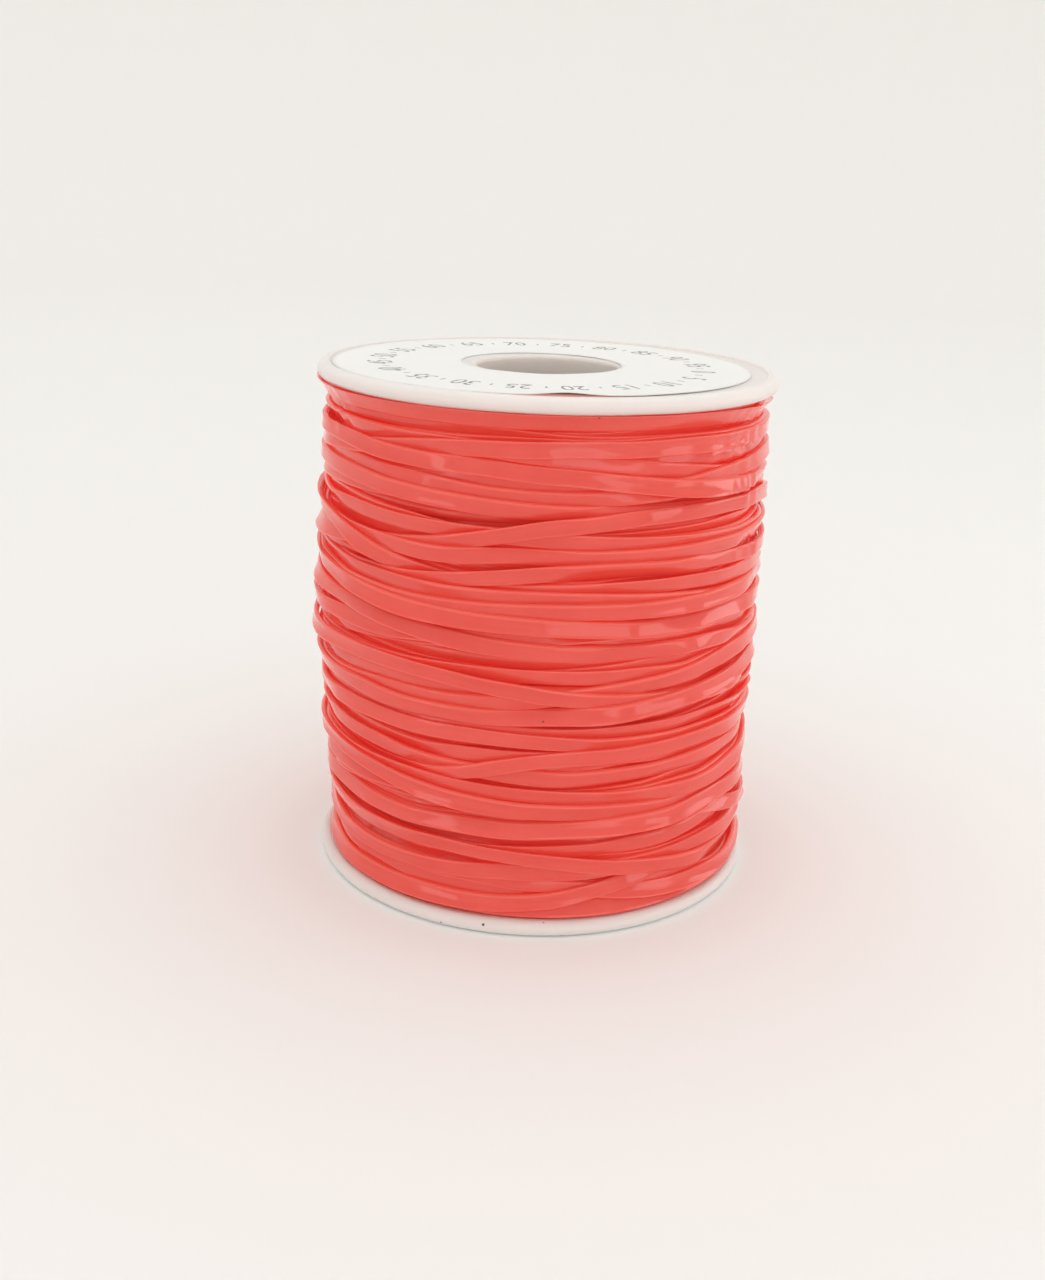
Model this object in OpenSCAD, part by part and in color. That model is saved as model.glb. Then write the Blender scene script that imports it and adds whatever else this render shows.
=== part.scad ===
// Reel of flat plastic craft lace.
// Two identical moulded flanges press into a barrel tube, the lace is wound
// between them, and a paper ring lies in the recess of the upper flange.
// Millimetres, +Z up along the bore, origin at the centre of the lower face.

/* [Reel] */
// Diameter of both flanges
flange_d = 72; // [66:0.5:80]
// Height over both flanges
reel_h = 81.5; // [74:0.5:90]
// Diameter of the bore for a spindle
bore_d = 22.6; // [18:0.2:24]

/* [Flange] */
// Height of the rounded rim
rim_h = 2.4; // [2:0.1:3]
// Width of the raised rim, from the outside to the recess
rim_w = 1.8; // [1.6:0.1:3]
// Depth of the recess in the outer face, for a label
label_recess = 0.3; // [0.2:0.05:0.4]
// Depth of the step on the side that faces the lace
lace_side_step = 0.3; // [0.1:0.05:0.5]
// Rounding of the bore's mouth
mouth_round = 0.6; // [0.3:0.1:0.8]

/* [Hub collar] */
// Wall of the collar that goes into the barrel
collar_wall = 1.8; // [1.2:0.1:2.4]
// Length of the collar below the flange
collar_l = 11; // [6:0.5:20]
// Chamfer at the collar's end
collar_lead = 0.6; // [0.3:0.1:1]
// Number of crush ribs round the collar
crush_ribs = 6; // [3:1:10]
// Radius of a crush rib
crush_rib_r = 0.6; // [0.4:0.1:0.6]
// Radial clearance between collar and barrel
collar_clearance = 0.15; // [0.1:0.05:0.25]

/* [Start slot] */
// Length of the slot for the lace's inner end, along the radius
slot_l = 3.6; // [3:0.1:5]
// Width of that slot
slot_w = 1.4; // [1.1:0.1:2]
// Distance from the barrel to the slot
slot_offset = 1; // [0.5:0.1:3]

/* [Barrel] */
// Wall of the barrel tube
barrel_wall = 1.6; // [1.2:0.1:2.4]
// Chamfer inside the barrel's ends
barrel_lead = 0.5; // [0.2:0.1:0.8]

/* [Label] */
// Bare plastic between the label and the rim, with the label centred
label_rim_margin = 1.5; // [1.3:0.1:4]
// Bare plastic between the bore and the label's hole, with the label centred
label_bore_margin = 1.2; // [1.2:0.1:4]
// Thickness of the paper
label_t = 0.12; // [0.08:0.02:0.18]
// How far the ring was stuck off centre
label_shift = -1.1; // [-1.1:0.1:1.1]

/* [Lace] */
// Width of the lace
lace_w = 2.4; // [2:0.1:2.8]
// Thickness of the lace
lace_t = 0.8; // [0.6:0.1:1.1]
// Bevel along the lace's edges
lace_bevel = 0.25; // [0.1:0.05:0.4]
// Turns of the slow pass up the reel
slow_turns = 20; // [14:1:20]
// Turns of the quick pass back down, over the slow one
quick_turns = 4; // [3:1:4]
// Radial distance from the rim's outside to the outermost lace, next to the flanges
winding_inset = 0.3; // [0.1:0.1:2]
// How far the winding bellies out half way up
winding_belly = 1.1; // [0:0.1:1.5]

/* [Clearances] */
// Gap between the two passes of lace, and between neighbouring turns
lace_gap = 0.45; // [0.42:0.01:0.6]
// Gap between the lace and what lies beside or under it
seat_gap = 0.25; // [0.1:0.05:0.3]

/* [Hidden] */
$fn = 96;
small_fn = 32;
lace_colour = [0.94, 0.39, 0.35];

bore_r = bore_d / 2;
flange_r = flange_d / 2;
rim_r = rim_h / 2;
web_t = rim_h - label_recess - lace_side_step;
web_top = label_recess + web_t;

collar_r = bore_r + collar_wall;
barrel_ir = collar_r + collar_clearance;
barrel_or = barrel_ir + barrel_wall;
barrel_h = reel_h - 2 * web_top;

label_r = flange_r - rim_w - label_rim_margin;
label_hole_r = bore_r + label_bore_margin;
rib_clearance = 0.02;
rib_root = 0.5;

// Passes of the outer lace: middle radius of each next to the flanges, and the
// core under them.
loop_rings = 24;
ring_step = 360 / loop_rings;
chord = cos(ring_step / 2);
quick_r = flange_r - winding_inset - lace_t / 2;
slow_r = quick_r - (lace_t + lace_gap) / chord;
core_r = (slow_r - lace_t / 2) * chord - seat_gap;

// Stretch of the axis that the lace's middle line keeps to.
low_z = rim_h + seat_gap + lace_w / 2;
high_z = reel_h - low_z;
all_turns = slow_turns + quick_turns;
slow_pitch = (high_z - low_z) / slow_turns;
lace_start = 90;
// Waves in each slow turn: not a whole number, so that the turns wander apart.
wander_rate = 0.37;
wander = max(0, slow_pitch - lace_w - lace_gap) / (2.2 * sin(180 * wander_rate));

// Heights at which the core's wall is set out.
belly_steps = 16;

function ease(x) = x - sin(360 * x) / 360 * 180 / PI;
function smooth(x) = let (c = min(1, max(0, x))) c * c * (3 - 2 * c);

// What the belly adds to every radius of the winding at a height.
function belly(z) = winding_belly * pow(sin(180 * (z - web_top) / barrel_h), 2);

// The slow pass fades its wander out at both ends of the reel.
function slow_z(t) =
    low_z + slow_pitch * t + wander * sin(360 * wander_rate * t)
        * smooth(t) * smooth(slow_turns - t);
function quick_z(t) = high_z - (high_z - low_z) * ease((t - slow_turns) / quick_turns);
function lace_z(t) = t < slow_turns ? slow_z(t) : quick_z(t);
// The lace climbs onto the slow pass in the half turn where it reverses.
function lace_r(t) = slow_r + (quick_r - slow_r) * smooth((t - slow_turns + 0.25) / 0.5);

// Section of the lace as [radial, axial] offsets, in order round it.
lace_section = [
    [-lace_t / 2, lace_bevel - lace_w / 2],
    [0, -lace_w / 2],
    [lace_t / 2, lace_bevel - lace_w / 2],
    [lace_t / 2, lace_w / 2 - lace_bevel],
    [0, lace_w / 2],
    [-lace_t / 2, lace_w / 2 - lace_bevel]
];
sides = len(lace_section);
last_ring = all_turns * loop_rings;

// Radius and height of a section point, laid along the belly.
function laid(t, offset) =
    let (z = lace_z(t) + offset[1])
    [lace_r(t) + belly(z) + offset[0], z];

// Least gap of the ribbon to itself, from each point of its section to the
// edges of every earlier turn's section at the same angle. Half way between
// two rings a flat stretch lies nearer the axis by the chord, so the radii
// are taken there.
function outline(t) = [
    for (offset = lace_section)
        let (p = laid(t, offset))
            [p[0] * chord, p[1]]
];
function edge_gap(p, a, b) =
    let (
        edge = b - a,
        along = min(1, max(0, (p - a) * edge / (edge * edge)))
    )
    norm(p - a - along * edge);
function outline_gap(p, q) = min([
    for (point = p, j = [0:sides - 1])
        edge_gap(point, q[j], q[(j + 1) % sides])
]);
function turn_gap(t1, t2) =
    let (
        p = outline(t1),
        q = outline(t2)
    )
    min(outline_gap(p, q), outline_gap(q, p));
least_gap = min([
    for (i = [loop_rings:last_ring], back = [1:floor(i / loop_rings)])
        let (t = i / loop_rings)
            if (abs(lace_z(t) - lace_z(t - back)) < 2 * lace_w)
                turn_gap(t, t - back)
]);
echo(least_gap_between_turns = least_gap);

// ---- flange ----

module flange_profile() {
    // rim: a rounded bead, level with the recess where the web begins
    translate([flange_r - rim_r, rim_r])
        circle(r = rim_r, $fn = 48);
    translate([flange_r - rim_w, 0])
        square([rim_w - rim_r, rim_h]);
    // web between the bore and the rim
    translate([bore_r, label_recess])
        square([flange_r - rim_w - bore_r + 0.01, web_t]);
    // collar with a chamfered end
    polygon([
        [bore_r, label_recess],
        [collar_r, label_recess],
        [collar_r, web_top + collar_l - collar_lead],
        [collar_r - collar_lead, web_top + collar_l],
        [bore_r, web_top + collar_l]
    ]);
}

// What rounding the mouth takes away, on the recessed outer face.
module mouth_cut_profile() {
    difference() {
        translate([bore_r - 1, label_recess - 1])
            square([1 + mouth_round, 1 + mouth_round]);
        translate([bore_r + mouth_round, label_recess + mouth_round])
            circle(r = mouth_round, $fn = 48);
    }
}

// A crush rib's crest all but touches the barrel.
module crush_rib() {
    rib_h = collar_l - 2 * collar_lead;
    translate([barrel_ir - rib_clearance - crush_rib_r, 0, web_top - rib_root])
        cylinder(r = crush_rib_r, h = rib_h + rib_root, $fn = small_fn);
}

module start_slot() {
    half = (slot_l - slot_w) / 2;
    middle = barrel_or + slot_offset + slot_l / 2;
    for (side = [-1, 1])
        translate([middle + side * half, 0, -1])
            cylinder(d = slot_w, h = rim_h + 2, $fn = small_fn);
    translate([middle - half, -slot_w / 2, -1])
        cube([2 * half, slot_w, rim_h + 2]);
}

module flange() {
    color("whitesmoke")
        difference() {
            union() {
                rotate_extrude()
                    flange_profile();
                for (i = [0:crush_ribs - 1])
                    rotate([0, 0, 360 * i / crush_ribs])
                        crush_rib();
            }
            rotate_extrude()
                mouth_cut_profile();
            start_slot();
        }
}

module lower_flange() {
    flange();
}

module upper_flange() {
    translate([0, 0, reel_h])
        rotate([180, 0, 0])
            flange();
}

// ---- barrel and label ----

module barrel() {
    color("gainsboro")
        translate([0, 0, web_top])
            rotate_extrude()
                polygon([
                    [barrel_ir + barrel_lead, 0],
                    [barrel_or, 0],
                    [barrel_or, barrel_h],
                    [barrel_ir + barrel_lead, barrel_h],
                    [barrel_ir, barrel_h - barrel_lead],
                    [barrel_ir, barrel_lead]
                ]);
}

module paper_label() {
    color("white")
        translate([label_shift, 0, reel_h - label_recess])
            difference() {
                cylinder(r = label_r, h = label_t);
                translate([0, 0, -1])
                    cylinder(r = label_hole_r, h = label_t + 2);
            }
}

// ---- lace ----

module inner_lace_layers() {
    hole_r = barrel_or + seat_gap;
    low = web_top + seat_gap;
    high = low + barrel_h - 2 * seat_gap;
    wall = [
        for (i = [0:belly_steps])
            let (z = low + (high - low) * i / belly_steps)
                [core_r + belly(z), z]
    ];
    color(lace_colour)
        rotate_extrude()
            polygon(concat([[hole_r, high], [hole_r, low]], wall));
}

function lace_point(t, offset) =
    let (
        a = lace_start + 360 * t,
        p = laid(t, offset)
    )
    [p[0] * cos(a), p[0] * sin(a), p[1]];

// One unbroken ribbon: rings of section points, joined by triangles.
module outer_lace_turns() {
    points = [
        for (i = [0:last_ring], offset = lace_section)
            lace_point(i / loop_rings, offset)
    ];
    skin = [
        for (i = [0:last_ring - 1], j = [0:sides - 1])
            let (
                k = (j + 1) % sides,
                a = i * sides + j,
                b = i * sides + k,
                c = a + sides,
                d = b + sides
            )
            each [[a, b, d], [a, d, c]]
    ];
    end = last_ring * sides;
    caps = [
        for (j = [1:sides - 2])
            each [[0, j + 1, j], [end, end + j, end + j + 1]]
    ];
    color(lace_colour)
        polyhedron(points = points, faces = concat(skin, caps), convexity = 10);
}

lower_flange();
upper_flange();
barrel();
paper_label();
inner_lace_layers();
outer_lace_turns();
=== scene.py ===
import math
import time

import bpy
import numpy as np
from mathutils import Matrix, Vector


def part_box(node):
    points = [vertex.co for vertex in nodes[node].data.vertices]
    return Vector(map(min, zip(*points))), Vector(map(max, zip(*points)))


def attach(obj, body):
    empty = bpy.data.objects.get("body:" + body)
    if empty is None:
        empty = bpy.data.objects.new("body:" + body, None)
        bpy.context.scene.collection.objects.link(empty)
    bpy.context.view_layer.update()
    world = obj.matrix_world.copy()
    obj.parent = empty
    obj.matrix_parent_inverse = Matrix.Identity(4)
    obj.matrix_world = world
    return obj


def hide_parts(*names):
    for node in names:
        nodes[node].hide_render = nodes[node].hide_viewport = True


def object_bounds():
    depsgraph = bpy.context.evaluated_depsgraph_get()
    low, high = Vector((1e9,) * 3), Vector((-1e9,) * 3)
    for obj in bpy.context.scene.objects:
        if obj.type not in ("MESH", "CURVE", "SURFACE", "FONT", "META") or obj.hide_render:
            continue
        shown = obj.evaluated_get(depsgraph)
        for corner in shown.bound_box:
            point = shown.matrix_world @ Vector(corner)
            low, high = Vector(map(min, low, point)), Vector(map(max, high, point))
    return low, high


started = time.time()


def say(words):
    print(f"{words} ({time.time() - started:.1f} s)")


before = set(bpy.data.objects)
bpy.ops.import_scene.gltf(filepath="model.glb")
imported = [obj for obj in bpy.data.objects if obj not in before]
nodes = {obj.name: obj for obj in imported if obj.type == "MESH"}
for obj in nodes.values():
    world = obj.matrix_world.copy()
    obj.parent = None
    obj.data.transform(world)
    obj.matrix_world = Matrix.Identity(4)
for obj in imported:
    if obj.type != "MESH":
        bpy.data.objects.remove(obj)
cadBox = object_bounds()
scene = bpy.context.scene
mm = 0.001
reelTop = cadBox[1][2] / mm


# camera

cameraSet = {
    "away": 227.7,  # mm in front of the reel's axis
    "height": 111.0,
    "yaw": -0.64,  # degrees
    "pitch": 18.34,
    "roll": 2.03,
    "focal": 1435,  # pixels of a frame 1280 pixels high
    "frameHeight": 1280,
}


def makeCamera(c):
    # the view's axes: straight ahead from yaw and pitch, then right and up turned by the roll
    yaw, pitch, roll = (math.radians(c[k]) for k in ("yaw", "pitch", "roll"))
    ahead = np.array([math.sin(yaw) * math.cos(pitch), math.cos(yaw) * math.cos(pitch), -math.sin(pitch)])
    right = np.array([math.cos(yaw), -math.sin(yaw), 0.0])
    up = np.cross(right, ahead)
    side = math.cos(roll) * right + math.sin(roll) * up
    top = math.cos(roll) * up - math.sin(roll) * right
    data = bpy.data.cameras.new("viewCamera")
    data.sensor_width = 36
    data.lens = data.sensor_width * c["focal"] / c["frameHeight"]
    data.clip_start = 0.01
    cam = bpy.data.objects.new("viewCamera", data)
    scene.collection.objects.link(cam)
    matrix = np.eye(4)
    matrix[:3, 0], matrix[:3, 1], matrix[:3, 2] = side, top, -ahead
    matrix[:3, 3] = [0, -c["away"] * mm, c["height"] * mm]
    cam.matrix_world = matrix.T.tolist()
    scene.camera = cam


makeCamera(cameraSet)
say("camera placed")


# meshes

def gridFaces(rows, cols, wrapRows=False, wrapCols=True):
    # quads of a grid of rows by cols points, joined round where it wraps
    i = np.arange(rows if wrapRows else rows - 1)
    j = np.arange(cols if wrapCols else cols - 1)
    i, j = (a.ravel() for a in np.meshgrid(i, j, indexing="ij"))
    i1, j1 = (i + 1) % rows, (j + 1) % cols
    return np.stack([i * cols + j, i * cols + j1, i1 * cols + j1, i1 * cols + j], 1)


def makeMesh(name, points, quads, caps=(), uv=None):
    # points in millimetres, quads as rows of four indices, caps as lists of indices
    mesh = bpy.data.meshes.new(name)
    loops = np.concatenate([quads.ravel()] + [np.asarray(c) for c in caps]).astype(np.int32)
    sizes = np.concatenate([np.full(len(quads), 4), [len(c) for c in caps]]).astype(np.int32)
    mesh.vertices.add(len(points))
    mesh.vertices.foreach_set("co", (points * mm).astype(np.float32).ravel())
    mesh.loops.add(len(loops))
    mesh.loops.foreach_set("vertex_index", loops)
    mesh.polygons.add(len(sizes))
    mesh.polygons.foreach_set("loop_start", np.concatenate([[0], np.cumsum(sizes)[:-1]]).astype(np.int32))
    smooth = np.ones(len(sizes), bool)
    if caps:
        smooth[-len(caps):] = False
    mesh.polygons.foreach_set("use_smooth", smooth)
    if uv is not None:
        layer = mesh.uv_layers.new(name="path")
        layer.data.foreach_set("uv", uv.astype(np.float32).ravel())
    mesh.update(calc_edges=True)
    mesh.validate()
    piece = bpy.data.objects.new(name, mesh)
    scene.collection.objects.link(piece)
    return piece


# lace

lace = {
    "width": 2.4,
    "thickness": 0.8,
    "corner": 0.2,  # rounding of its four edges
    "crown": 0.03,  # how far the middle of its face stands proud of the edges
    "cornerPoints": 3,
    "facePoints": 0.6,  # where its outer face has two more points, as a share of the flat's half
    "ringsPerTurn": 320,
    "turnsPerPiece": 20,
}

winding = {
    "seed": 3,
    "turns": 150,  # turns that are laid, the innermost only as a surface
    "shownTurns": 80,  # turns from the outside that are made as lace
    "passTurns": 40,  # turns from one flange to the other
    "passSpread": 0.18,
    "columns": 720,
    "cell": 0.1,
    "startRadius": 30.0,
    "startAngle": 90,
    "drift": 1.4,  # unsteady hand of the traverse
    "driftTurns": 0.25,
    "ripple": 0.5,
    "rippleTurns": 0.1,
    "jump": 4.5,  # steps to the side over a few neighbours
    "jumpEvery": 1.8,
    "jumpTurns": 0.22,
    "jumpSpread": (0.5, 1.3),  # ranges for each jump's size, way out, way back, stay and gap to the next
    "outSpread": (0.6, 1.5),
    "backSpread": (1, 3),
    "staySpread": (0.3, 1.6),
    "gapSpread": (0.4, 1.6),
    "jumpSharpness": 3,
    "slide": 2.0,  # how far the lace slides down a slope of 1
    "slideBlur": 2.2,
    "steepest": 0.5,
    "slopeCells": 5,  # cells from one height to the next at which slopes are taken
    "sink": 0.08,  # how far it presses into what lies under it
    "mostTwist": 0.4,
    "twistBlur": 9,
    "twists": 17,  # leans that are tried
    "probes": 21,  # points across the lace that feel for what lies under it
    "probeInset": 0.12,
    "tautSpans": (60, 40, 27, 18, 12, 8, 5, 3, 2, 1),  # steps each way
    "tautSweeps": 3,
    "overlap": 1 / 6,  # shares of a turn: laid lace that joins in, and the ramps over which things ease
    "slideEven": 1 / 24,
    "slideEase": 1 / 12,
    "twistEase": 1 / 36,
    "lowest": 4.2,  # least height of the lace's middle over the lower flange's base
    "highest": 3.7,  # least distance of it below the upper flange's top
    "flangeSoft": 0.5,
    "softBend": 7,  # steps over which the lace bends, at the least
    "trimZ": 12,  # lengths of the blur that evens the finished winding, in cells and columns
    "trimTurn": 16,
}


def smoothNoise(rng, count, length):
    # white noise blurred by a bell curve of that length, with a spread of 1
    reach = int(4 * length)
    bell = np.exp(-0.5 * (np.arange(-reach, reach + 1) / length) ** 2)
    return np.convolve(rng.standard_normal(count + 2 * reach), bell / np.sqrt((bell ** 2).sum()), "valid")


def blurred(values, sigma):
    reach = int(3 * sigma)
    bell = np.exp(-0.5 * (np.arange(-reach, reach + 1) / sigma) ** 2)
    return np.convolve(np.pad(values, reach, "edge"), bell / bell.sum(), "valid")


def betweenFlanges(z, w):
    # soft stop at both flanges: top - soft * log(1 + exp((top - z) / soft)), and the same from below
    top = reelTop - w["highest"]
    soft = w["flangeSoft"]
    z = top - soft * np.logaddexp(0, (top - z) / soft)
    return w["lowest"] + soft * np.logaddexp(0, (z - w["lowest"]) / soft)


def traverse(rng, w):
    # height of the lace's middle at each step: straight passes up and down, drift, and jumps that come back
    count = w["turns"] * w["columns"]
    turn = np.arange(count) / w["columns"]
    ends = [0.0]
    while ends[-1] < w["turns"]:
        ends.append(ends[-1] + w["passTurns"] * (1 + w["passSpread"] * rng.uniform(-1, 1)))
    upper = np.arange(len(ends)) % 2
    z = np.interp(turn, ends, np.where(upper, reelTop - w["highest"], w["lowest"]))
    z += w["drift"] * smoothNoise(rng, count, w["driftTurns"] * w["columns"])
    z += w["ripple"] * smoothNoise(rng, count, w["rippleTurns"] * w["columns"])
    at = 1.0
    while at < w["turns"]:
        size = w["jump"] * rng.choice([-1, 1]) * rng.uniform(*w["jumpSpread"])
        out = w["jumpTurns"] * rng.uniform(*w["outSpread"])
        back = out * rng.uniform(*w["backSpread"])
        stay = rng.uniform(*w["staySpread"])
        sharp = w["jumpSharpness"]
        z += size / 2 * (np.tanh(sharp * (turn - at) / out) - np.tanh(sharp * (turn - at - stay) / back))
        at += w["jumpEvery"] * rng.uniform(*w["gapSpread"])
    return z


def pulledTaut(radius, laid, w):
    # a taut lace bridges hollows in straight lines. With u = 1 / radius, a straight line has
    # u(a - s) + u(a + s) = 2 cos(s) u(a), so u is lowered to that, for long spans and then short ones
    u = 1 / radius
    kept = u[:laid].copy()
    for s in w["tautSpans"] * w["tautSweeps"]:
        middle = (u[:-2 * s] + u[2 * s:]) / (2 * math.cos(2 * math.pi * s / w["columns"]))
        u[s:-s] = np.minimum(u[s:-s], middle)
        u[:laid] = kept
    return 1 / u


def easedFrom(last, values, laid, ramp):
    # values after the laid stretch start at its last value and fade over to their own
    fade = np.clip(np.arange(len(values) - laid) / ramp, 0, 1)
    fade = fade * fade * (3 - 2 * fade)
    return np.concatenate([values[:laid], last * (1 - fade) + values[laid:] * fade])


def windLace(w, cut):
    # lays the lace turn by turn on a map of the surface's radius over angle and height. Each step slides
    # down the slope, leans as the surface under it makes it lean, is pulled taut, and is put on the map
    rng = np.random.default_rng(w["seed"])
    z = traverse(rng, w)
    columns, cell, count = w["columns"], w["cell"], len(z)
    rows = int(round(reelTop / cell)) + 1
    surface = np.full((columns, rows), w["startRadius"])
    inner, twist, slid = np.zeros(count), np.zeros(count), np.zeros(count)
    half = cut["width"] / 2
    probe = np.linspace(w["probeInset"] - half, half - w["probeInset"], w["probes"])
    leans = np.linspace(-w["mostTwist"], w["mostTwist"], w["twists"])
    reach = round(half / cell)
    across = np.arange(-reach, reach + 1) * cell
    intoCorner = np.clip(np.abs(across) - half + cut["corner"], 0, cut["corner"])
    outside = cut["thickness"] - cut["corner"] + np.sqrt(cut["corner"] ** 2 - intoCorner ** 2)
    every = w["slopeCells"]
    levels = np.arange(0, rows, every) * cell
    bell = np.exp(-0.5 * ((levels[:, None] - levels) / w["slideBlur"]) ** 2)
    bell /= bell.sum(0)
    under = None
    overlap, slideEase, twistEase = (round(columns * w[k]) for k in ("overlap", "slideEase", "twistEase"))
    for start in range(0, count, columns):
        if start == (w["turns"] - w["shownTurns"]) * columns:
            under = surface.copy()
        first, last = max(0, start - overlap), min(count, start + columns + overlap)
        end = min(count, start + columns)
        laid = start - first
        column = np.arange(first, last) % columns
        slope = np.gradient(surface[:, ::every] @ bell, every * cell, axis=1)
        level = np.clip(np.rint(betweenFlanges(z[first:last], w) / (every * cell)).astype(int), 0, len(levels) - 1)
        steep = np.clip(slope[column, level], -w["steepest"], w["steepest"])
        shift = blurred(-w["slide"] * steep, columns * w["slideEven"])
        if laid:
            shift = easedFrom(slid[start - 1], shift, laid, slideEase)
        shift[:laid] = 0  # the laid stretch has slid already
        now = np.where(np.arange(first, last) < start, z[first:last], betweenFlanges(z[first:last] + shift, w))
        row = np.clip(np.rint((now[:, None] + probe) / cell).astype(int), 0, rows - 1)
        below = surface[column[:, None], row]
        lean = leans[(below[:, :, None] - leans * probe[:, None]).max(1).argmin(1)]
        lean = blurred(lean, w["twistBlur"])
        if laid:
            lean = easedFrom(twist[start - 1], lean, laid, twistEase)
            lean[:laid] = twist[first:start]
        seat = (below - lean[:, None] * probe).max(1) - w["sink"]
        seat[:laid] = inner[first:start]
        radius = pulledTaut(seat, laid, w)
        new = slice(laid, laid + end - start)
        inner[start:end], twist[start:end] = radius[new], lean[new]
        slid[start:end], z[start:end] = shift[new], now[new]
        put = radius[new, None] + lean[new, None] * across + outside
        row = np.clip(np.rint((now[new, None] + across) / cell).astype(int), 0, rows - 1)
        at = (column[new, None], row)
        surface[at] = np.maximum(surface[at], put)
    return z, inner, twist, surface, under


def blurredSurface(surface, alongZ, alongTurn):
    # bell-curve blur of a map over angle (which wraps) and height, both lengths in cells
    rows = np.arange(surface.shape[1])
    bell = np.exp(-0.5 * ((rows[:, None] - rows) / alongZ) ** 2)
    flat = surface @ (bell / bell.sum(0))
    columns = np.arange(surface.shape[0])
    away = np.minimum(columns, len(columns) - columns)
    bell = np.exp(-0.5 * (away / alongTurn) ** 2)
    turned = np.fft.fft(flat, axis=0) * np.fft.fft(bell / bell.sum())[:, None]
    return np.fft.ifft(turned, axis=0).real


barrelShape = {  # the finished winding, in mm
    "share": (0.03, 0.09, 0.2, 0.33, 0.45, 0.6, 0.75, 0.88, 0.98),  # of the reel's height
    "radius": (33.7, 34.2, 34.6, 34.8, 35.4, 35.65, 34.9, 34.95, 33.5),
    "lean": (0.65, 0.6, 0.35, -0.2, -0.55, -0.5, -0.1, 0.0, -0.4),  # how far it sits over to +X
    "evened": 30,  # blur over both, in cells
}

creases = {  # places where the lace is crumpled, by angle in degrees, height and reach both ways in mm
    "places": ((-33, 76.0, 4.0, 2.2), (-36, 72.5, 3.5, 1.6), (-30, 66.8, 3.5, 1.6), (-29, 57.0, 3.5, 1.4),
               (-152, 75.5, 2.2, 2.2), (-30, 49.5, 3.0, 1.6)),
    "depth": 0.18,
    "radius": 35,  # mm, turns degrees into reach along the winding
    "sharpness": 2.2,  # in columns
    "seed": 5,
}


def wantedRadius(w, b, columns, rows):
    # radius over the share of the height, plus lean cos(angle), both softened
    share = np.arange(rows) * w["cell"] / reelTop
    angle = 2 * np.pi * np.arange(columns) / columns + math.radians(w["startAngle"])
    radius, lean = (blurred(np.interp(share, b["share"], b[k]), b["evened"]) for k in ("radius", "lean"))
    return radius + lean * np.cos(angle)[:, None]


def creaseDepth(w, c, columns, rows):
    # sharp noise round the reel, kept to a bell-shaped patch at each place
    rng = np.random.default_rng(c["seed"])
    height = np.arange(rows) * w["cell"]
    degrees = 360 * np.arange(columns) / columns + w["startAngle"]
    depth = np.zeros((columns, rows))
    for angle, level, along, across in c["places"]:
        away = np.radians((degrees - angle + 180) % 360 - 180) * c["radius"]
        patch = np.exp(-0.5 * (away / along) ** 2)[:, None] * np.exp(-0.5 * ((height - level) / across) ** 2)
        depth += c["depth"] * patch * smoothNoise(rng, columns, c["sharpness"])[:, None]
    return depth


z, inner, twist, surface, under = windLace(winding, lace)
say("lace wound")

trim = wantedRadius(winding, barrelShape, *surface.shape)
trim -= blurredSurface(surface, winding["trimZ"], winding["trimTurn"])
trim += creaseDepth(winding, creases, *surface.shape)
inner = blurred(inner, winding["softBend"])


def trimAt(step, height, w):
    # the trim at a step of the path and a height in mm, straight between the map's cells
    column = np.rint(step).astype(int) % w["columns"]
    row = np.clip(height / w["cell"], 0, trim.shape[1] - 1.001)
    low = row.astype(int)
    return trim[column, low] * (low + 1 - row) + trim[column, low + 1] * (row - low)


def laceSection(cut):
    # rounded rectangle, from its inner lower corner round: [across, outwards from the inner face]
    turns = np.linspace(0, math.pi / 2, cut["cornerPoints"])
    half, r, t = cut["width"] / 2, cut["corner"], cut["thickness"]
    points = []
    for middle, first in (((half - r, r), -math.pi / 2), ((half - r, t - r), 0.0),
                          ((r - half, t - r), math.pi / 2), ((r - half, r), math.pi)):
        points += [(middle[0] + r * math.cos(first + a), middle[1] + r * math.sin(first + a)) for a in turns]
        if first == 0.0:
            points += [(side * (half - r) * cut["facePoints"], t) for side in (1, -1)]
    section = np.array(points)
    face = section[:, 1] > t - 1e-6
    section[face, 1] += cut["crown"] * (1 - (section[face, 0] / half) ** 2)
    return section


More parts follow.
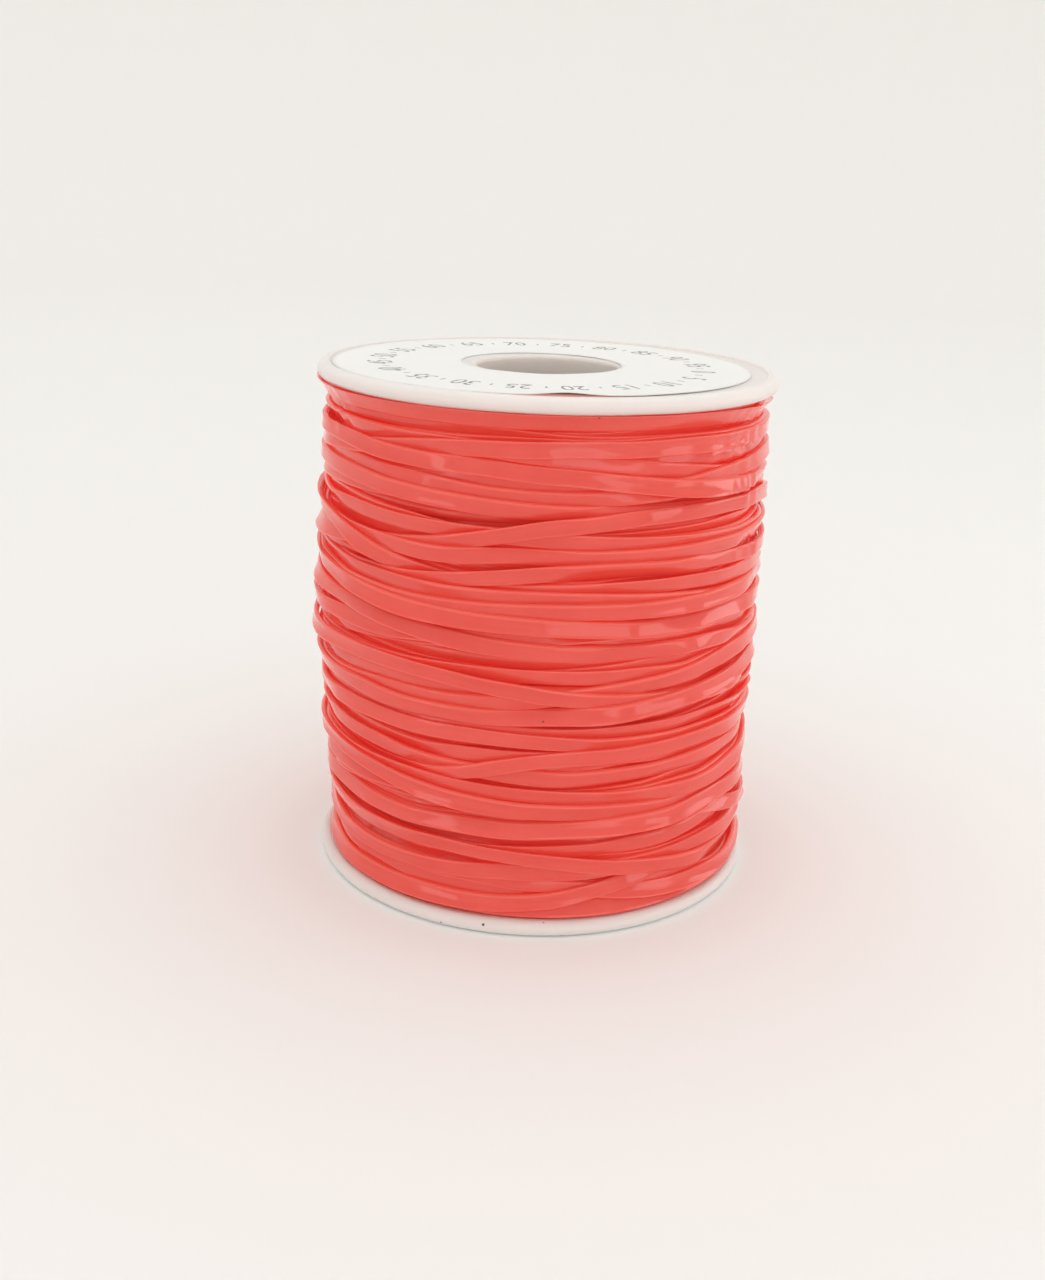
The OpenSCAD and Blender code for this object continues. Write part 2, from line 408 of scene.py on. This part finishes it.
def laceStrip(name, first, last, cut, w):
    # the section carried along the path: radius = inner + out cos(twist) + across sin(twist) + trim,
    # height = z + across cos(twist) - out sin(twist)
    section = laceSection(cut)
    sides = len(section)
    steps = np.arange(round(first * cut["ringsPerTurn"]), round(last * cut["ringsPerTurn"]) + 1)
    at = np.minimum(steps * w["columns"] / cut["ringsPerTurn"], len(z) - 1)
    path = np.arange(len(z))
    lean = np.arctan(np.interp(at, path, twist))[:, None]
    across, out = section[:, 0], section[:, 1]
    radius = np.interp(at, path, inner)[:, None] + out * np.cos(lean) + across * np.sin(lean)
    height = np.interp(at, path, z)[:, None] + across * np.cos(lean) - out * np.sin(lean)
    radius = radius + trimAt(at[:, None], height, w)
    angle = (2 * np.pi * at / w["columns"])[:, None] + math.radians(w["startAngle"])
    points = np.stack([radius * np.cos(angle), radius * np.sin(angle), height], 2).reshape(-1, 3)
    rings = len(steps)
    quads = gridFaces(rings, sides)
    along = steps / cut["ringsPerTurn"] * 2 * np.pi * max(barrelShape["radius"]) * mm
    edge = np.concatenate([[0], np.cumsum(np.hypot(*np.diff(section, axis=0, append=section[:1]).T))]) * mm
    i, j = (a.ravel() for a in np.meshgrid(np.arange(rings - 1), np.arange(sides), indexing="ij"))
    uv = np.stack([np.stack([along[i + di], edge[j + dj]], 1)
                   for di, dj in ((0, 0), (0, 1), (1, 1), (1, 0))], 1)
    ends = [np.arange(sides)[::-1], (rings - 1) * sides + np.arange(sides)]
    capUv = np.stack([np.concatenate([np.full(sides, along[0]), np.full(sides, along[-1])]),
                      np.concatenate([edge[:-1][::-1], edge[:-1]])], 1)
    return makeMesh(name, points, quads, ends, np.concatenate([uv.reshape(-1, 2), capUv]))


laceParts = []
firstShown = winding["turns"] - winding["shownTurns"]
for n in range(math.ceil(winding["shownTurns"] / lace["turnsPerPiece"])):
    start = firstShown + n * lace["turnsPerPiece"]
    stop = min(start + lace["turnsPerPiece"], winding["turns"])
    laceParts.append(laceStrip(f"laceTurns{n + 1}", start, stop, lace, winding))
say("outer turns made")


layers = {
    "end": 2.2,  # mm from the reel's ends to the layers'
    "barrelGap": 0.1,
    "columnStep": 2,
    "cellStep": 3,
}


def innerLayers(name, w, p):
    # the surface under the shown turns as a closed ring: outer wall from the map, inner wall at the barrel
    column = np.arange(0, w["columns"], p["columnStep"])
    low, high = p["end"], reelTop - p["end"]
    row = np.arange(round(low / w["cell"]), round(high / w["cell"]) + 1, p["cellStep"])
    radius = (under + trim)[column][:, row]
    angle = 2 * np.pi * column / w["columns"] + math.radians(w["startAngle"])
    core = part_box("barrel")[1][0] / mm + p["barrelGap"]
    level = np.concatenate([[low], row * w["cell"], [high]])
    radius = np.concatenate([np.full((len(column), 1), core), radius, np.full((len(column), 1), core)], 1)
    points = np.stack([radius * np.cos(angle)[:, None], radius * np.sin(angle)[:, None],
                       np.broadcast_to(level, radius.shape)], 2)
    points = points.transpose(1, 0, 2).reshape(-1, 3)
    return makeMesh(name, points, gridFaces(len(level), len(column), wrapRows=True))


innerLace = innerLayers("innerLace", winding, layers)
say("inner layers made")


# label

label = {
    "rings": 26,  # from the hole to the outside
    "columns": 360,
    "hole": 12.6,  # radius
    "holeShift": 1.2,  # how far the hole is cut off centre, towards +Y
    "liftAngle": -84,  # where the outer edge has come unstuck, in degrees
    "liftHeight": 0.46,
    "liftReach": 3.0,  # along the edge, in mm
    "longLift": 0.13,  # a longer, lower lift beside it
    "longAngle": -68,
    "longReach": 15,
    "liftDepth": 7.0,  # from the edge inwards
    "wave": 0.035,
    "cutWave": 0.05,  # unsteadiness of the cut edges
    "seed": 3,
}
labelLow, labelHigh = (np.array(c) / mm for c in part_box("paper_label"))
labelMiddle = (labelLow + labelHigh)[:2] / 2
labelRadius = (labelHigh - labelLow)[0] / 2


def labelLift(x, y, p):
    # height of the paper over its bed: liftHeight exp(-(along / reach)^2 / 2) (share of the depth)^2,
    # the same for the longer lift, and slow waves
    out = np.hypot(x - labelMiddle[0], y - labelMiddle[1])
    angle = np.arctan2(y - labelMiddle[1], x - labelMiddle[0])
    share = np.clip((out - labelRadius + p["liftDepth"]) / p["liftDepth"], 0, 1) ** 2
    lift = 0
    for high, at, reach in ((p["liftHeight"], p["liftAngle"], p["liftReach"]),
                            (p["longLift"], p["longAngle"], p["longReach"])):
        along = ((angle - math.radians(at) + np.pi) % (2 * np.pi) - np.pi) * labelRadius
        lift = lift + high * np.exp(-0.5 * (along / reach) ** 2) * share
    wave = np.sin(3 * angle + 0.4 * x) * np.sin(0.31 * y + 1) + np.sin(0.45 * x - 0.3 * y + 2)
    return lift + p["wave"] * (wave / 2 + 1)


def makeLabel(p):
    # a ring of paper: its top, outside edge, bottom and inside edge as one closed strip of rings
    rng = np.random.default_rng(p["seed"])
    angle = np.linspace(0, 2 * np.pi, p["columns"], endpoint=False)
    waves = sum(rng.standard_normal() * np.sin(n * angle + rng.uniform(0, 6)) / n for n in range(2, 9))
    inside = p["hole"] + p["cutWave"] * waves
    outside = labelRadius + p["cutWave"] * np.roll(waves, p["columns"] // 4)
    share = np.linspace(0, 1, p["rings"])
    share = np.concatenate([share, share[::-1]])[:, None]
    out = inside + share * (outside - inside)
    x = labelMiddle[0] + out * np.cos(angle)
    y = labelMiddle[1] + out * np.sin(angle) + p["holeShift"] * (1 - share)
    top = np.repeat([labelHigh[2], labelLow[2]], p["rings"])[:, None]
    points = np.stack([x, y, top + labelLift(x, y, p)], 2).reshape(-1, 3)
    return makeMesh("paperRing", points, gridFaces(len(share), p["columns"], wrapRows=True)[:, ::-1])


paperRing = makeLabel(label)

scale = {  # plain numbers round the ring
    "step": 5,
    "count": 20,
    "radius": 23.4,
    "height": 3.9,
    "capital": 0.7,  # the font's capital height as a share of its size
    "firstTurn": -0.12,  # place of the first number, in radians from +X
    "narrow": 0.72,
    "thick": 0.016,
    "tickRadius": (24.4, 25.6),
    "tickWidth": 0.3,
}


def makeScale(s, p):
    # each number is a letter form made a mesh, turned to its place and laid on the paper, and each tick a block
    points, faces, count = [], [], 0
    for n in range(s["count"]):
        turn = s["firstTurn"] - 2 * np.pi * n / s["count"]
        words = bpy.data.curves.new("number", "FONT")
        words.body = str(n * s["step"])
        words.size = s["height"] / s["capital"]
        words.align_x = "CENTER"
        words.resolution_u = 3
        words.extrude = s["thick"] / 2
        writer = bpy.data.objects.new("number", words)
        mesh = writer.to_mesh()
        at = np.empty(len(mesh.vertices) * 3)
        mesh.vertices.foreach_get("co", at)
        at = at.reshape(-1, 3)
        at[:, 0] *= s["narrow"]
        out, across = s["radius"] + at[:, 1], at[:, 0]
        x = labelMiddle[0] + out * math.cos(turn) + across * math.sin(turn)
        y = labelMiddle[1] + out * math.sin(turn) - across * math.cos(turn)
        points.append(np.stack([x, y, labelHigh[2] + labelLift(x, y, p) + at[:, 2]], 1))
        faces += [[count + v for v in face.vertices] for face in mesh.polygons]
        count += len(at)
        writer.to_mesh_clear()
        bpy.data.objects.remove(writer)
        bpy.data.curves.remove(words)
    turn = (s["firstTurn"] - 2 * np.pi * (np.arange(s["count"]) + 0.5) / s["count"])[:, None]
    out = np.array([0, 1, 1, 0, 0, 1, 1, 0]) * (s["tickRadius"][1] - s["tickRadius"][0]) + s["tickRadius"][0]
    across = np.array([-1, -1, 1, 1, -1, -1, 1, 1]) * s["tickWidth"] / 2
    x = labelMiddle[0] + out * np.cos(turn) - across * np.sin(turn)
    y = labelMiddle[1] + out * np.sin(turn) + across * np.cos(turn)
    level = labelHigh[2] + labelLift(x, y, p) + np.repeat([-1, 1], 4) * s["thick"] / 2
    points.append(np.stack([x, y, level], 2).reshape(-1, 3))
    block = np.array([[3, 2, 1, 0], [4, 5, 6, 7], [0, 1, 5, 4], [1, 2, 6, 5], [2, 3, 7, 6], [3, 0, 4, 7]])
    faces += (count + 8 * np.arange(s["count"])[:, None, None] + block).reshape(-1, 4).tolist()
    mesh = bpy.data.meshes.new("labelNumbers")
    mesh.from_pydata((np.concatenate(points) * mm).tolist(), [], faces)
    mesh.validate()
    piece = bpy.data.objects.new("labelNumbers", mesh)
    scene.collection.objects.link(piece)
    return piece


labelNumbers = makeScale(scale, label)
say("label made")


# materials

black, white = (0, 0, 0), (1, 1, 1)


def newMaterial(name):
    material = bpy.data.materials.new(name)
    material.use_nodes = True
    tree = material.node_tree
    return material, tree, tree.nodes["Principled BSDF"]


def node(tree, kind, values=(), **settings):
    new = tree.nodes.new(kind)
    for key, value in settings.items():
        setattr(new, key, value)
    for key, value in dict(values).items():
        new.inputs[key].default_value = value
    return new


def ramp(tree, source, stops):
    # colour ramp from (place, colour) stops
    new = tree.nodes.new("ShaderNodeValToRGB")
    elements = new.color_ramp.elements
    while len(elements) < len(stops):
        elements.new(0.5)
    for element, (place, colour) in zip(elements, stops):
        element.position = place
        element.color = (*colour, 1)
    tree.links.new(source, new.inputs["Fac"])
    return new.outputs["Color"]


lacePlastic = {
    "colour": (0.66, 0.070, 0.050),
    "paler": (0.70, 0.088, 0.066),
    "edge": (0.74, 0.14, 0.105),  # painted light on the thin sides, standing in for light that comes through them
    "sideLightPlaces": (0.712, 1.128, 2.922, 3.306),  # mm round the section, where it fades and comes back
    "speck": (0.05, 0.012, 0.010),
    "speckEvery": 6,  # mm
    "speckSize": 0.13,  # mm
    "speckShare": 0.3,
    "streaks": (25, 500, 1),  # scales of the noises, per metre along, round and through or in x, y and z
    "clouds": (120, 120, 120),
    "toneSpread": (0.38, 0.62),
    "rubs": (60, 900, 1),
    "rubSpread": (0.35, 0.75),
    "roughness": (0.06, 0.13),
    "scatter": 0.5,
    "scatterReach": (0.9, 0.25, 0.18),  # mm
    "glow": (1.0, 0.05, 0.038),  # painted glow, standing in for light that comes through from the turns beneath
    "glowStrength": 0.12,
    "gapPaintedGlow": 0.10,
    "gapReach": 1.6,  # mm
    "openest": 0.4,
    "lines": (8, 5000, 1),  # drawing lines along the lace
    "lineDepth": 0.006,  # mm
    "uneven": (160, 300, 1),
    "unevenDepth": 0.01,  # mm
    "bands": (30, 30, 900),  # of the hidden turns
    "bandSpread": (0.35, 0.65),
    "bandDepth": 0.3,  # mm
    "hiddenRoughness": 0.3,
    "ior": 1.53,
}


def mappedNoise(tree, source, scale, detail=2.0):
    # noise stretched by a scale for each direction
    place = node(tree, "ShaderNodeMapping")
    place.inputs["Scale"].default_value = scale
    tree.links.new(source, place.inputs["Vector"])
    cloud = node(tree, "ShaderNodeTexNoise", {"Scale": 1.0, "Detail": detail})
    tree.links.new(place.outputs["Vector"], cloud.inputs["Vector"])
    return cloud.outputs["Fac"]


def mixed(tree, factor, first, second, kind="MIX"):
    # colour mix; each of the two is a socket or a plain colour
    new = node(tree, "ShaderNodeMix", data_type="RGBA", blend_type=kind)
    for socket, value in ((new.inputs[0], factor), (new.inputs[6], first), (new.inputs[7], second)):
        if isinstance(value, bpy.types.NodeSocket):
            tree.links.new(value, socket)
        else:
            socket.default_value = (*value, 1) if isinstance(value, tuple) else value
    return new.outputs[2]


def bumped(tree, height, depth, before=None):
    # bump of a height from 0 to 1 and a depth in mm, on top of an earlier bump
    new = node(tree, "ShaderNodeBump", {"Strength": 1.0, "Distance": depth * mm})
    tree.links.new(height, new.inputs["Height"])
    if before is not None:
        tree.links.new(before, new.inputs["Normal"])
    return new.outputs["Normal"]


def spots(tree, source, every, size, share):
    # 1 in small dots: one in a share of the cells of a pattern, size and spacing in mm
    cells = node(tree, "ShaderNodeTexVoronoi", {"Scale": 1 / (every * mm)})
    tree.links.new(source, cells.inputs["Vector"])
    near = ramp(tree, cells.outputs["Distance"], [(size / every, white), (size / every * 1.5, black)])
    parts = node(tree, "ShaderNodeSeparateColor")
    tree.links.new(cells.outputs["Color"], parts.inputs["Color"])
    chosen = ramp(tree, parts.outputs["Red"], [(share, white), (share + 0.01, black)])
    return mixed(tree, 1.0, near, chosen, "MULTIPLY")


def ranged(tree, source, between, to=(0, 1)):
    # a value carried over from one range to another, held at its ends
    new = node(tree, "ShaderNodeMapRange", {1: between[0], 2: between[1], 3: to[0], 4: to[1]})
    tree.links.new(source, new.inputs[0])
    return new.outputs[0]


def paintGapGlow(tree, shader, p):
    # painted glow, standing in for light that comes through the plastic round it into the gaps: strength = glow +
    # gapPaintedGlow (1 - open / openest)
    shut = node(tree, "ShaderNodeAmbientOcclusion", {"Distance": p["gapReach"] * mm}, samples=2)
    strengths = (p["glowStrength"], p["glowStrength"] + p["gapPaintedGlow"])
    glow = ranged(tree, shut.outputs["AO"], (p["openest"], 0.0), strengths)
    tree.links.new(glow, shader.inputs["Emission Strength"])


def makeLacePlastic(p):
    material, tree, shader = newMaterial("glossyLace")
    link = tree.links.new
    uv = node(tree, "ShaderNodeUVMap", uv_map="path").outputs["UV"]
    solid = node(tree, "ShaderNodeTexCoord").outputs["Object"]
    tone = mixed(tree, 0.5, mappedNoise(tree, uv, p["streaks"]), mappedNoise(tree, solid, p["clouds"], 3.0))
    colour = mixed(tree, ramp(tree, tone, list(zip(p["toneSpread"], (black, white)))), p["colour"], p["paler"])
    # painted light on the thin sides, by place round the section, from the inner upper corner: upper side, face,
    # lower side, back
    parts = node(tree, "ShaderNodeSeparateXYZ")
    link(uv, parts.inputs["Vector"])
    perimeter = 2 * (lace["width"] + lace["thickness"])
    share = node(tree, "ShaderNodeMath", {1: 1 / (perimeter * mm)}, operation="MULTIPLY")
    link(parts.outputs["Y"], share.inputs[0])
    places = [place / perimeter for place in p["sideLightPlaces"]]
    paintedSideLight = ramp(tree, share.outputs[0], list(zip(places, (white, black, black, white))))
    colour = mixed(tree, paintedSideLight, colour, p["edge"])
    dots = spots(tree, solid, p["speckEvery"], p["speckSize"], p["speckShare"])
    link(mixed(tree, dots, colour, p["speck"]), shader.inputs["Base Color"])
    rub = mappedNoise(tree, uv, p["rubs"], 4.0)
    link(ranged(tree, rub, p["rubSpread"], p["roughness"]), shader.inputs["Roughness"])
    lines = mappedNoise(tree, uv, p["lines"], 2.0)
    uneven = mappedNoise(tree, uv, p["uneven"], 1.0)
    link(bumped(tree, uneven, p["unevenDepth"], bumped(tree, lines, p["lineDepth"])), shader.inputs["Normal"])
    shader.inputs["Subsurface Weight"].default_value = p["scatter"]
    shader.inputs["Subsurface Radius"].default_value = p["scatterReach"]
    shader.inputs["Subsurface Scale"].default_value = mm
    # painted glow: the lace gives off a little red light, more where it is shut in
    shader.inputs["Emission Color"].default_value = (*p["glow"], 1)
    paintGapGlow(tree, shader, p)
    shader.inputs["IOR"].default_value = p["ior"]
    return material


def makeInnerPlastic(p):
    # the hidden turns: the same plastic, with the turns' edges as fine bands over the height
    material, tree, shader = newMaterial("glossyLaceInside")
    link = tree.links.new
    solid = node(tree, "ShaderNodeTexCoord").outputs["Object"]
    bands = mappedNoise(tree, solid, p["bands"], 2.0)
    link(ramp(tree, bands, list(zip(p["bandSpread"], (p["colour"], p["paler"])))), shader.inputs["Base Color"])
    link(bumped(tree, bands, p["bandDepth"]), shader.inputs["Normal"])
    shader.inputs["Roughness"].default_value = p["hiddenRoughness"]
    # painted glow: the hidden turns give off a little red light, more where they are shut in
    shader.inputs["Emission Color"].default_value = (*p["glow"], 1)
    paintGapGlow(tree, shader, p)
    shader.inputs["IOR"].default_value = p["ior"]
    return material


laceMaterial = makeLacePlastic(lacePlastic)
for part in laceParts:
    part.data.materials.append(laceMaterial)
innerLace.data.materials.append(makeInnerPlastic(lacePlastic))


spoolPlastic = {
    "colour": (0.82, 0.79, 0.765),
    "palerBy": 1.05,
    "clouds": (90, 90, 90),
    "cloudSpread": (0.3, 0.7),
    "cloudDepth": 0.006,  # mm
    "paintedPinkShade": (0.74, 0.64, 0.61),  # painted shade and red light from the lace, towards the winding
    "bore": (0.78, 0.715, 0.675),  # painted shade round the spindle's place
    "boreTo": 13.0,  # mm from the axis
    "paintedShadeFrom": 26,  # mm from the axis
    "paintedShadeFull": 34,
    "paintedShadeHeights": ((0.0, 0), (0.03, 1), (0.97, 1), (1.0, 0.2)),  # share of the height, share of the painted shade
    "speck": (0.10, 0.085, 0.08),
    "speckEvery": 2.2,  # mm
    "speckSize": 0.17,
    "speckShare": 0.5,
    "speckTo": 0.035,  # share of the height up to which dirt from the table sticks
    "scuffs": (500, 500, 500),
    "scuffSpread": (0.3, 0.7),
    "scuffDepth": 0.001,  # mm
    "roughness": (0.29, 0.41),
    "ior": 1.49,
    "scatter": 0.6,
    "scatterReach": (3.0, 2.6, 2.4),  # mm
    "glow": (0.24, 0.095, 0.08),  # painted glow, standing in for light from the lace that comes through under the lifted paper
    "paintedGlowTo": 33.2,  # mm from the axis
    "paintedGlowFront": 29,  # mm in front of the axis
}


def makeSpoolPlastic(p):
    material, tree, shader = newMaterial("milkyPlastic")
    link = tree.links.new
    solid = node(tree, "ShaderNodeTexCoord").outputs["Object"]
    cloud = mappedNoise(tree, solid, p["clouds"], 4.0)
    paler = tuple(c * p["palerBy"] for c in p["colour"])
    colour = ramp(tree, cloud, list(zip(p["cloudSpread"], (p["colour"], paler))))
    # painted shade and red light towards the winding: by height, times by distance from the axis
    parts = node(tree, "ShaderNodeSeparateXYZ")
    link(solid, parts.inputs["Vector"])
    share = node(tree, "ShaderNodeMath", {1: 1 / (reelTop * mm)}, operation="MULTIPLY")
    link(parts.outputs["Z"], share.inputs[0])
    byHeight = ramp(tree, share.outputs[0], [(at, (warmth,) * 3) for at, warmth in p["paintedShadeHeights"]])
    flat = node(tree, "ShaderNodeVectorMath", {1: (1, 1, 0)}, operation="MULTIPLY")
    link(solid, flat.inputs[0])
    out = node(tree, "ShaderNodeVectorMath", operation="LENGTH")
    link(flat.outputs[0], out.inputs[0])
    away = out.outputs["Value"]
    byRadius = ranged(tree, away, (p["paintedShadeFrom"] * mm, p["paintedShadeFull"] * mm))
    # painted shade: darker and pinker near the lace
    paintedShadeMask = mixed(tree, 1.0, byHeight, byRadius, "MULTIPLY")
    colour = mixed(tree, paintedShadeMask, colour, p["paintedPinkShade"])
    # painted shade: darker and greyer inside the bore's radius
    boreShadeMask = ranged(tree, away, ((p["boreTo"] + 0.4) * mm, (p["boreTo"] - 0.4) * mm))
    colour = mixed(tree, boreShadeMask, colour, p["bore"])
    dirty = ramp(tree, share.outputs[0], [(p["speckTo"], white), (p["speckTo"] + 0.002, black)])
    dirt = spots(tree, solid, p["speckEvery"], p["speckSize"], p["speckShare"])
    dirt = mixed(tree, 1.0, dirt, dirty, "MULTIPLY")
    link(mixed(tree, dirt, colour, p["speck"]), shader.inputs["Base Color"])
    # painted glow near the rim at the front, under the lifted paper's edge
    inside = ranged(tree, away, (p["paintedGlowTo"] * mm, (p["paintedGlowTo"] - 0.3) * mm))
    front = ranged(tree, parts.outputs["Y"], (-p["paintedGlowFront"] * mm, -(p["paintedGlowFront"] + 2) * mm))
    link(mixed(tree, 1.0, inside, front, "MULTIPLY"), shader.inputs["Emission Strength"])
    shader.inputs["Emission Color"].default_value = (*p["glow"], 1)
    scuffs = mappedNoise(tree, solid, p["scuffs"], 6.0)
    link(ranged(tree, scuffs, p["scuffSpread"], p["roughness"]), shader.inputs["Roughness"])
    link(bumped(tree, cloud, p["cloudDepth"], bumped(tree, scuffs, p["scuffDepth"])), shader.inputs["Normal"])
    shader.inputs["Subsurface Weight"].default_value = p["scatter"]
    shader.inputs["Subsurface Radius"].default_value = p["scatterReach"]
    shader.inputs["Subsurface Scale"].default_value = mm
    shader.inputs["IOR"].default_value = p["ior"]
    return material


spoolMaterial = makeSpoolPlastic(spoolPlastic)
for name in ("lower_flange", "upper_flange", "barrel"):
    nodes[name].data.materials[0] = spoolMaterial


labelPaper = {
    "colour": (0.91, 0.91, 0.885),
    "fibre": (0.85, 0.85, 0.82),
    "fibres": (1500, 1500, 300),
    "fibreDepth": 0.02,  # mm
    "blotches": (70, 70, 70),
    "speck": (0.45, 0.43, 0.40),
    "speckEvery": 5,  # mm
    "speckSize": 0.1,
    "speckShare": 0.12,
    "roughness": 0.75,
    "ink": (0.20, 0.20, 0.20),
    "inkWorn": (0.42, 0.42, 0.41),
    "wear": (700, 700, 700),
    "wearSpread": (0.4, 0.65),
    "inkRoughness": 0.6,
}


def makePaper(p):
    material, tree, shader = newMaterial("labelPaper")
    link = tree.links.new
    solid = node(tree, "ShaderNodeTexCoord").outputs["Object"]
    fibres = mappedNoise(tree, solid, p["fibres"], 4.0)
    blotches = mappedNoise(tree, solid, p["blotches"], 3.0)
    colour = mixed(tree, mixed(tree, 0.6, fibres, blotches), p["colour"], p["fibre"])
    dots = spots(tree, solid, p["speckEvery"], p["speckSize"], p["speckShare"])
    link(mixed(tree, dots, colour, p["speck"]), shader.inputs["Base Color"])
    link(bumped(tree, fibres, p["fibreDepth"]), shader.inputs["Normal"])
    shader.inputs["Roughness"].default_value = p["roughness"]
    return material


def makeInk(p):
    material, tree, shader = newMaterial("greyInk")
    link = tree.links.new
    solid = node(tree, "ShaderNodeTexCoord").outputs["Object"]
    worn = mappedNoise(tree, solid, p["wear"], 5.0)
    link(ramp(tree, worn, list(zip(p["wearSpread"], (p["ink"], p["inkWorn"])))), shader.inputs["Base Color"])
    shader.inputs["Roughness"].default_value = p["inkRoughness"]
    return material


paperRing.data.materials.append(makePaper(labelPaper))
labelNumbers.data.materials.append(makeInk(labelPaper))


# stage

stageSet = {
    "floorRadius": 1100,
    "coveRadius": 500,
    "wallTop": 1500,
    "colour": (0.82, 0.81, 0.79),
    "glow": (1.0, 0.985, 0.965),
    "glowStrength": 0.07,
    "sky": (1.0, 0.995, 0.985),
    "skyStrength": 1.16,
    "windowsAway": 450,
}


def makeCove(s):
    # turned profile: flat floor, quarter circle, straight wall, all round the reel
    quarter = np.linspace(0, math.pi / 2, 24)
    radius = np.concatenate([[0.0, s["floorRadius"] / 2], s["floorRadius"] + s["coveRadius"] * np.sin(quarter),
                             [s["floorRadius"] + s["coveRadius"]]])
    height = np.concatenate([[0, 0], s["coveRadius"] * (1 - np.cos(quarter)), [s["wallTop"]]]) - 0.02
    angle = np.linspace(0, 2 * np.pi, 96, endpoint=False)
    points = np.stack([radius[:, None] * np.cos(angle), radius[:, None] * np.sin(angle),
                       np.broadcast_to(height[:, None], (len(radius), len(angle)))], 2).reshape(-1, 3)
    cove = makeMesh("cove", points, gridFaces(len(radius), len(angle)))
    material, tree, shader = newMaterial("paleBackdrop")
    shader.inputs["Base Color"].default_value = (*s["colour"], 1)
    shader.inputs["Roughness"].default_value = 0.9
    shader.inputs["Specular IOR Level"].default_value = 0.1
    shader.inputs["Emission Color"].default_value = (*s["glow"], 1)
    shader.inputs["Emission Strength"].default_value = s["glowStrength"]
    cove.data.materials.append(material)


makeCove(stageSet)
world = bpy.data.worlds.new("softSky")
scene.world = world
world.use_nodes = True
sky = world.node_tree.nodes["Background"]
sky.inputs["Color"].default_value = (*stageSet["sky"], 1)
sky.inputs["Strength"].default_value = stageSet["skyStrength"]

windows = [  # azimuth from the camera's side, lowest and highest elevation, width in degrees, brightness
    (-48, 3, 20, 20, 1.2),
    (24, 3, 20, 34, 1.0),
    (63, 3, 20, 22, 1.3),
    (101, 3, 20, 26, 1.5),
]


def makeWindow(number, azimuth, low, high, wide, brightness, away):
    # an upright lamp on the floor that faces the reel; its power is brightness times pi times its area
    angle = math.radians(azimuth)
    width = 2 * away * math.tan(math.radians(wide / 2))
    bottom, top = (away * math.tan(math.radians(e)) for e in (low, high))
    data = bpy.data.lights.new(f"window{number}", "AREA")
    data.shape = "RECTANGLE"
    data.size, data.size_y = width * mm, (top - bottom) * mm
    data.energy = brightness * math.pi * data.size * data.size_y
    lamp = bpy.data.objects.new(f"window{number}", data)
    lamp.visible_camera = False
    scene.collection.objects.link(lamp)
    out = np.array([math.sin(angle), -math.cos(angle), 0.0])
    matrix = np.eye(4)
    matrix[:3, 0], matrix[:3, 1], matrix[:3, 2] = [math.cos(angle), math.sin(angle), 0.0], [0, 0, 1], out
    matrix[:3, 3] = (out * away + [0, 0, (bottom + top) / 2 + 1]) * mm
    lamp.matrix_world = matrix.T.tolist()


for number, one in enumerate(windows):
    makeWindow(number + 1, *one, stageSet["windowsAway"])
scene.view_settings.view_transform = "Standard"
say("stage and lamps made")


# pieces ride on the reel's one body

for part in laceParts:
    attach(part, "root")
    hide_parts("outer_lace_turns")
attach(innerLace, "root")
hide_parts("inner_lace_layers")
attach(paperRing, "root")
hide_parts("paper_label")
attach(labelNumbers, "root")

bpy.context.view_layer.update()
say("done")
